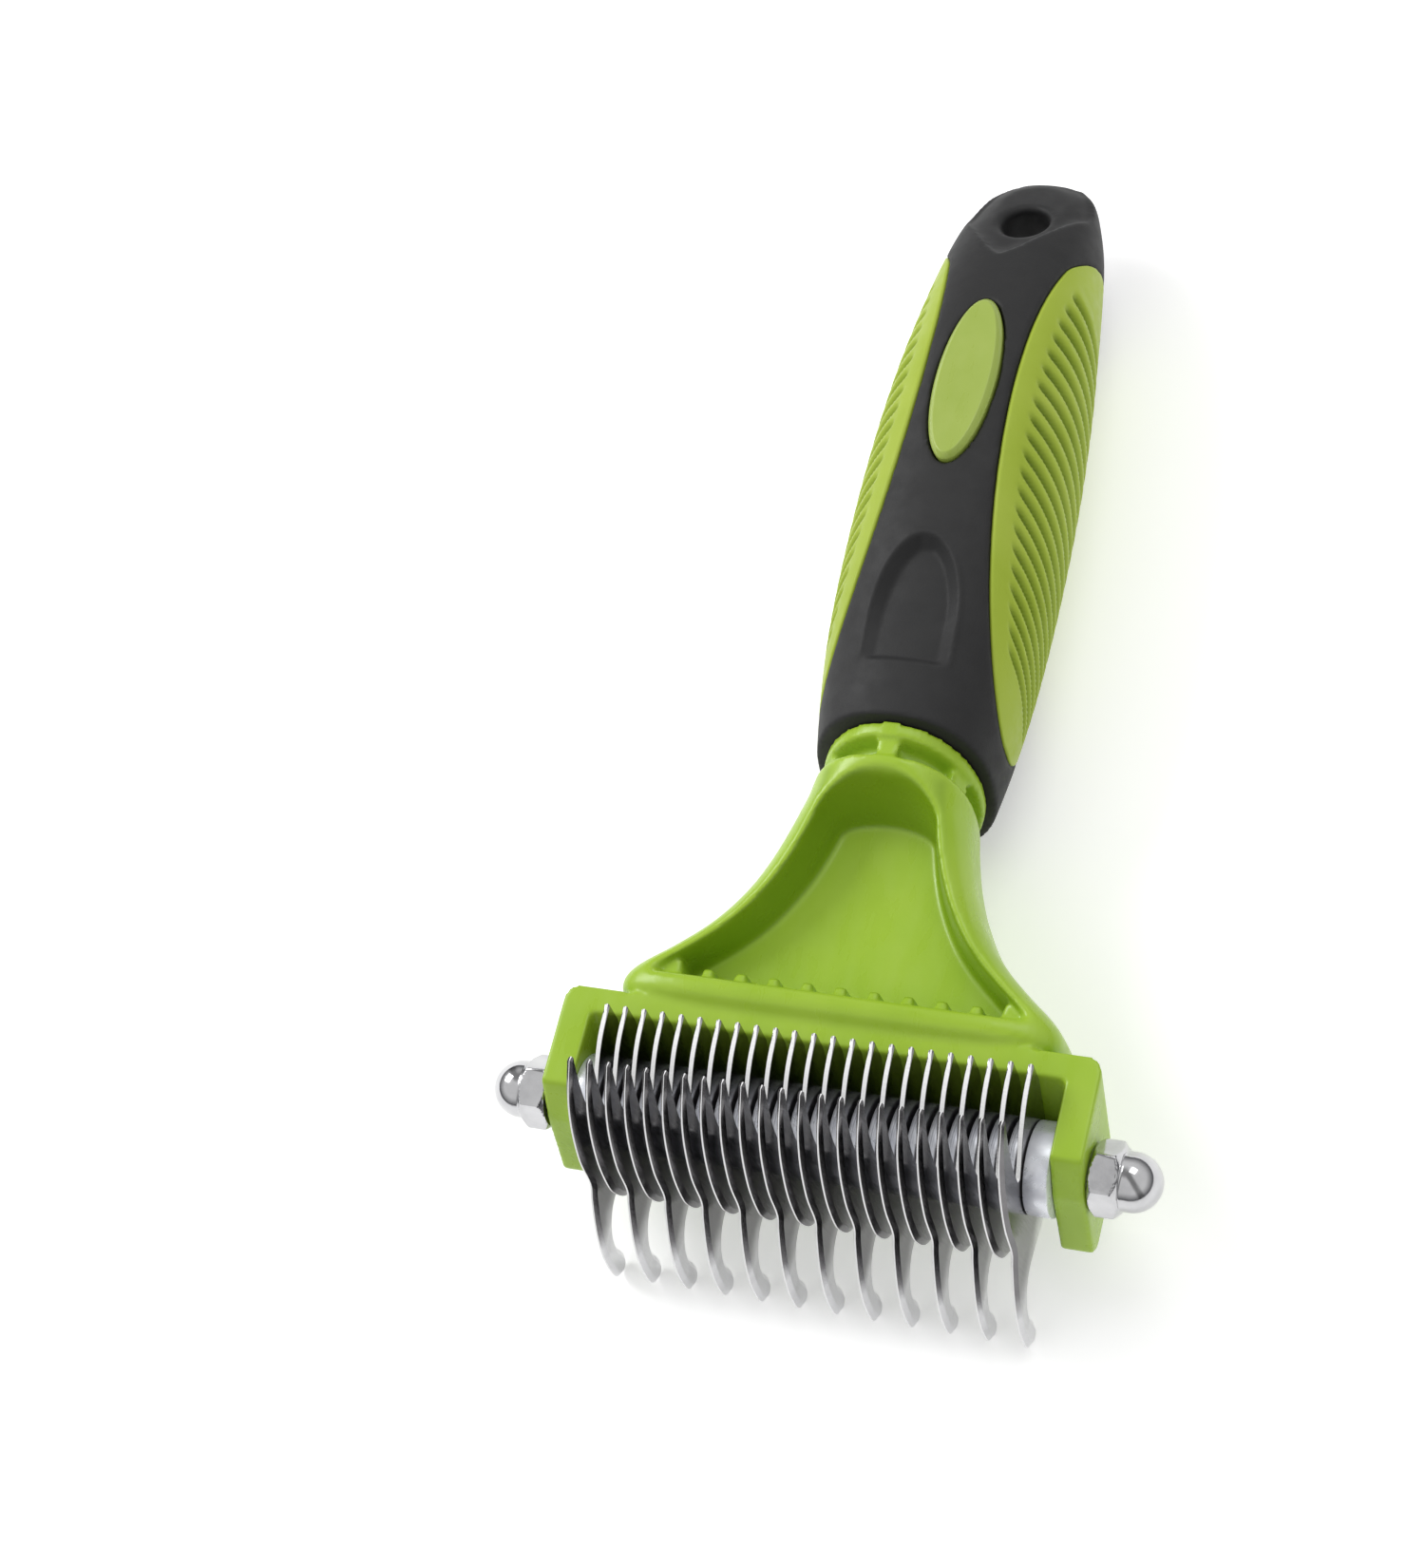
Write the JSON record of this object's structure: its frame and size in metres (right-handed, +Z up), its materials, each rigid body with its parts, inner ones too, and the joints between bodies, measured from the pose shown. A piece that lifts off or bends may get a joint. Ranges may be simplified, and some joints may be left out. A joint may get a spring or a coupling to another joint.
{
  "type": "deshedding tool",
  "caption": "Double-sided undercoat rake: toothed steel plates and spacers on a bolted axle in a forked plastic head, on a soft-grip handle with side inlays, thumb rest and hang hole.",
  "frame": {"origin": "middle of the bounding box's base, on the surface the tool rests on", "axes": "+X along the axle towards the right cap nut, +Y from the teeth towards the butt of the handle, +Z up, away from the surface"},
  "size_m": [0.105, 0.1886, 0.0412],
  "materials": {
    "green_plastic": "glossy lime green moulding",
    "green_inlay": "satin lime green ribbed panel",
    "badge_plastic": "glossy lime green, left blank",
    "black_grip": "matt soft-touch overmould",
    "blade_steel": "polished stainless steel",
    "spacer_metal": "satin",
    "nut_chrome": "bright plated",
    "rod_steel": "plain steel"
  },
  "bodies": {
    "root": {"head_frame": "green_plastic", "handle_grip": "black_grip", "side_inlay_left": "green_inlay", "side_inlay_right": "green_inlay", "badge": "badge_plastic", "axle_rod": "rod_steel", "cap_nut_left": "nut_chrome", "cap_nut_right": "nut_chrome", "end_spacer_left": "spacer_metal", "end_spacer_right": "spacer_metal", "blade_01": "blade_steel", "blade_02": "blade_steel", "blade_03": "blade_steel", "blade_04": "blade_steel", "blade_05": "blade_steel", "blade_06": "blade_steel", "blade_07": "blade_steel", "blade_08": "blade_steel", "blade_09": "blade_steel", "blade_10": "blade_steel", "blade_11": "blade_steel", "blade_12": "blade_steel", "blade_13": "blade_steel", "blade_14": "blade_steel", "blade_15": "blade_steel", "blade_16": "blade_steel", "blade_17": "blade_steel", "blade_18": "blade_steel", "blade_19": "blade_steel", "blade_20": "blade_steel", "blade_21": "blade_steel", "blade_22": "blade_steel", "blade_23": "blade_steel", "spacer_01": "spacer_metal", "spacer_02": "spacer_metal", "spacer_03": "spacer_metal", "spacer_04": "spacer_metal", "spacer_05": "spacer_metal", "spacer_06": "spacer_metal", "spacer_07": "spacer_metal", "spacer_08": "spacer_metal", "spacer_09": "spacer_metal", "spacer_10": "spacer_metal", "spacer_11": "spacer_metal", "spacer_12": "spacer_metal", "spacer_13": "spacer_metal", "spacer_14": "spacer_metal", "spacer_15": "spacer_metal", "spacer_16": "spacer_metal", "spacer_17": "spacer_metal", "spacer_18": "spacer_metal", "spacer_19": "spacer_metal", "spacer_20": "spacer_metal", "spacer_21": "spacer_metal", "spacer_22": "spacer_metal"}
  },
  "joints": []
}
